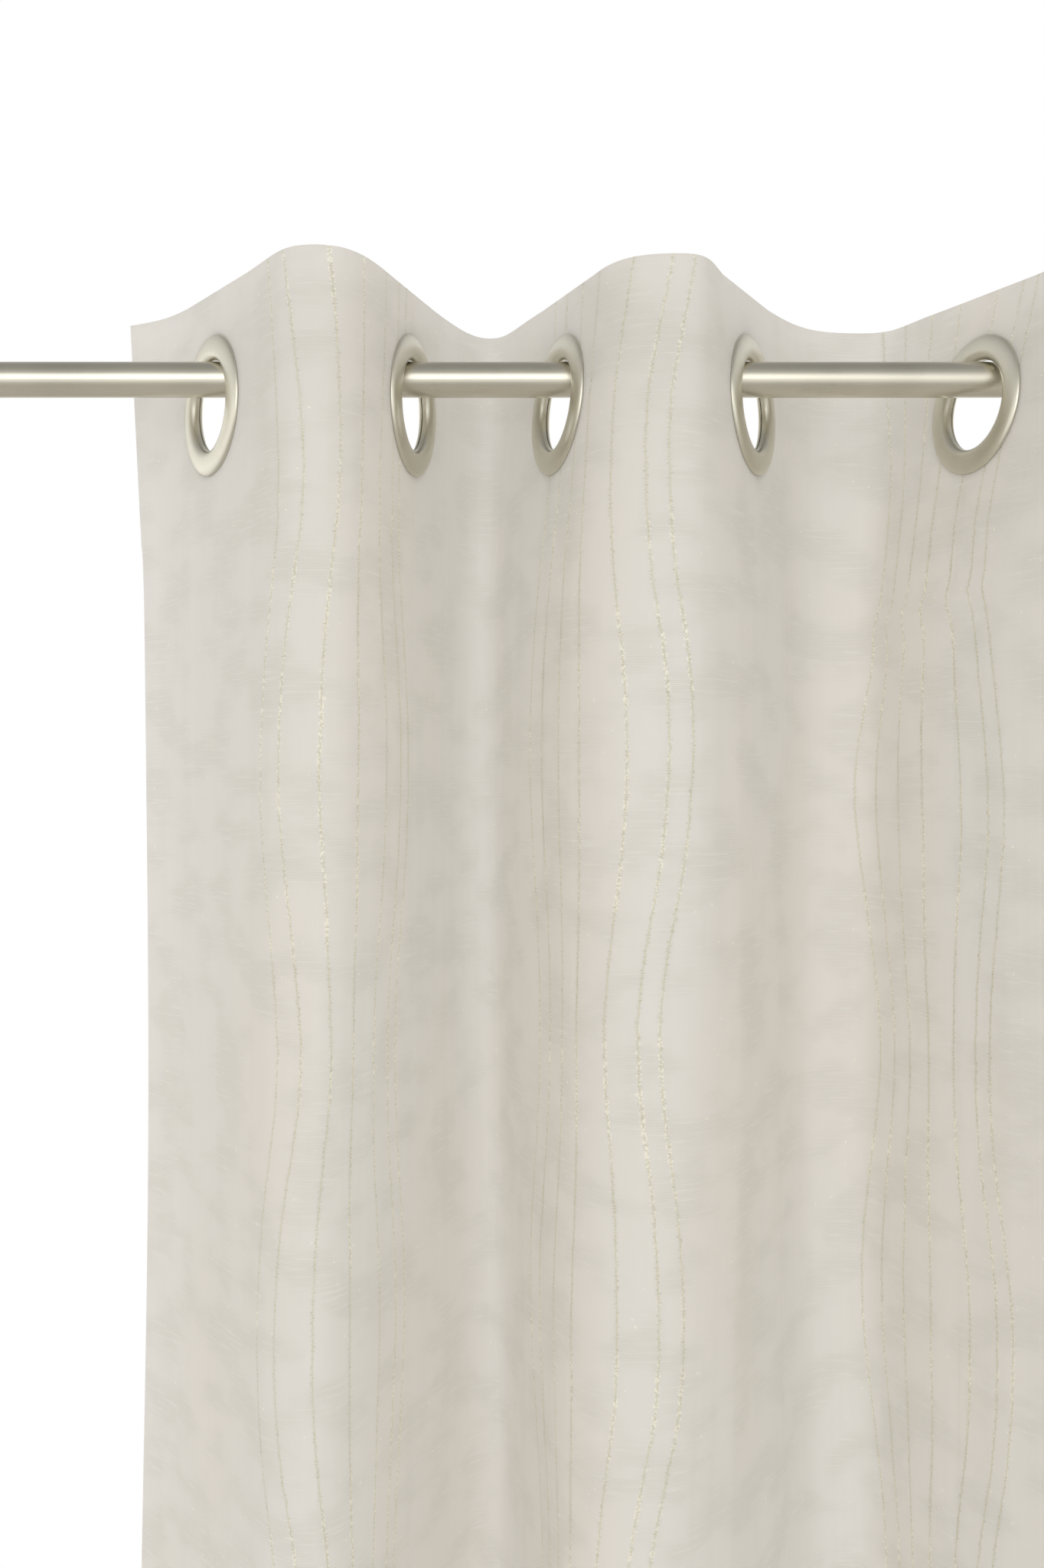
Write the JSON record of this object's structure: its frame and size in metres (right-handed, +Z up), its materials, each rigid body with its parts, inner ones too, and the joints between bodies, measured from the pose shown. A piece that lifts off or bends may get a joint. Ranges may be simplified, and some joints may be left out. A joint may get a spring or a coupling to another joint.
{
  "type": "eyelet curtain on a rod",
  "caption": "Eyelet curtain panel in standing folds on a slim metal rod, with end knobs and wall brackets; the panel slides along the rod and its folds draw together or spread.",
  "frame": {"origin": "centre of the left wall plate's back face, on the wall", "axes": "+X along the rod to the right as seen from the room, +Y into the wall, +Z up"},
  "size_m": [1.4492, 0.2277, 2.45],
  "materials": {
    "nickel": "satin nickel, warm tone",
    "screw_steel": "plain steel",
    "cloth": "ivory plain weave with fine crosswise ribs and wavy pale gold metallic threads"
  },
  "bodies": {
    "rail": {"rod_tube": "nickel", "end_knob_left": "nickel", "end_knob_right": "nickel", "wall_plate_left": "nickel", "wall_plate_right": "nickel", "bracket_arm_left": "nickel", "bracket_arm_right": "nickel", "set_screw_left": "screw_steel", "set_screw_right": "screw_steel", "wall_screw_left_upper": "screw_steel", "wall_screw_left_lower": "screw_steel", "wall_screw_right_upper": "screw_steel", "wall_screw_right_lower": "screw_steel"},
    "eyelet_1": {"eyelet_1_front": "nickel", "eyelet_1_back": "nickel", "cloth_strip_1": "cloth"},
    "eyelet_2": {"eyelet_2_front": "nickel", "eyelet_2_back": "nickel", "cloth_strip_2": "cloth"},
    "eyelet_3": {"eyelet_3_front": "nickel", "eyelet_3_back": "nickel", "cloth_strip_3": "cloth"},
    "eyelet_4": {"eyelet_4_front": "nickel", "eyelet_4_back": "nickel", "cloth_strip_4": "cloth"},
    "eyelet_5": {"eyelet_5_front": "nickel", "eyelet_5_back": "nickel", "cloth_strip_5": "cloth"},
    "eyelet_6": {"eyelet_6_front": "nickel", "eyelet_6_back": "nickel", "cloth_strip_6": "cloth"},
    "eyelet_7": {"eyelet_7_front": "nickel", "eyelet_7_back": "nickel", "cloth_strip_7": "cloth"},
    "eyelet_8": {"eyelet_8_front": "nickel", "eyelet_8_back": "nickel", "cloth_strip_8": "cloth"}
  },
  "joints": [
    {"name": "panel_slide", "type": "slide", "parent": "rail", "child": "eyelet_5", "axis": [1, 0, 0], "range_m": [-0.12, 0.12]},
    {"name": "draw_4", "type": "slide", "parent": "eyelet_5", "child": "eyelet_4", "axis": [1, 0, 0], "range_m": [-0.03, 0.05], "deforming": ["cloth_strip_4", "cloth_strip_5"]},
    {"name": "draw_3", "type": "slide", "parent": "eyelet_4", "child": "eyelet_3", "axis": [1, 0, 0], "range_m": [-0.0253, 0.0422], "deforming": ["cloth_strip_3"]},
    {"name": "draw_2", "type": "slide", "parent": "eyelet_3", "child": "eyelet_2", "axis": [1, 0, 0], "range_m": [-0.0198, 0.0329], "deforming": ["cloth_strip_2"]},
    {"name": "draw_1", "type": "slide", "parent": "eyelet_2", "child": "eyelet_1", "axis": [1, 0, 0], "range_m": [-0.0262, 0.0437], "deforming": ["cloth_strip_1"]},
    {"name": "draw_6", "type": "slide", "parent": "eyelet_5", "child": "eyelet_6", "axis": [1, 0, 0], "range_m": [-0.0417, 0.025], "deforming": ["cloth_strip_6"]},
    {"name": "draw_7", "type": "slide", "parent": "eyelet_6", "child": "eyelet_7", "axis": [1, 0, 0], "range_m": [-0.0417, 0.025], "deforming": ["cloth_strip_7"]},
    {"name": "draw_8", "type": "slide", "parent": "eyelet_7", "child": "eyelet_8", "axis": [1, 0, 0], "range_m": [-0.0417, 0.025], "deforming": ["cloth_strip_8"]}
  ],
  "couplings": [
    {"joint": "draw_3", "follows": "draw_4", "ratio": 0.8431},
    {"joint": "draw_2", "follows": "draw_4", "ratio": 0.6569},
    {"joint": "draw_1", "follows": "draw_4", "ratio": 0.8725},
    {"joint": "draw_6", "follows": "draw_4", "ratio": -0.8333},
    {"joint": "draw_7", "follows": "draw_4", "ratio": -0.8333},
    {"joint": "draw_8", "follows": "draw_4", "ratio": -0.8333}
  ]
}
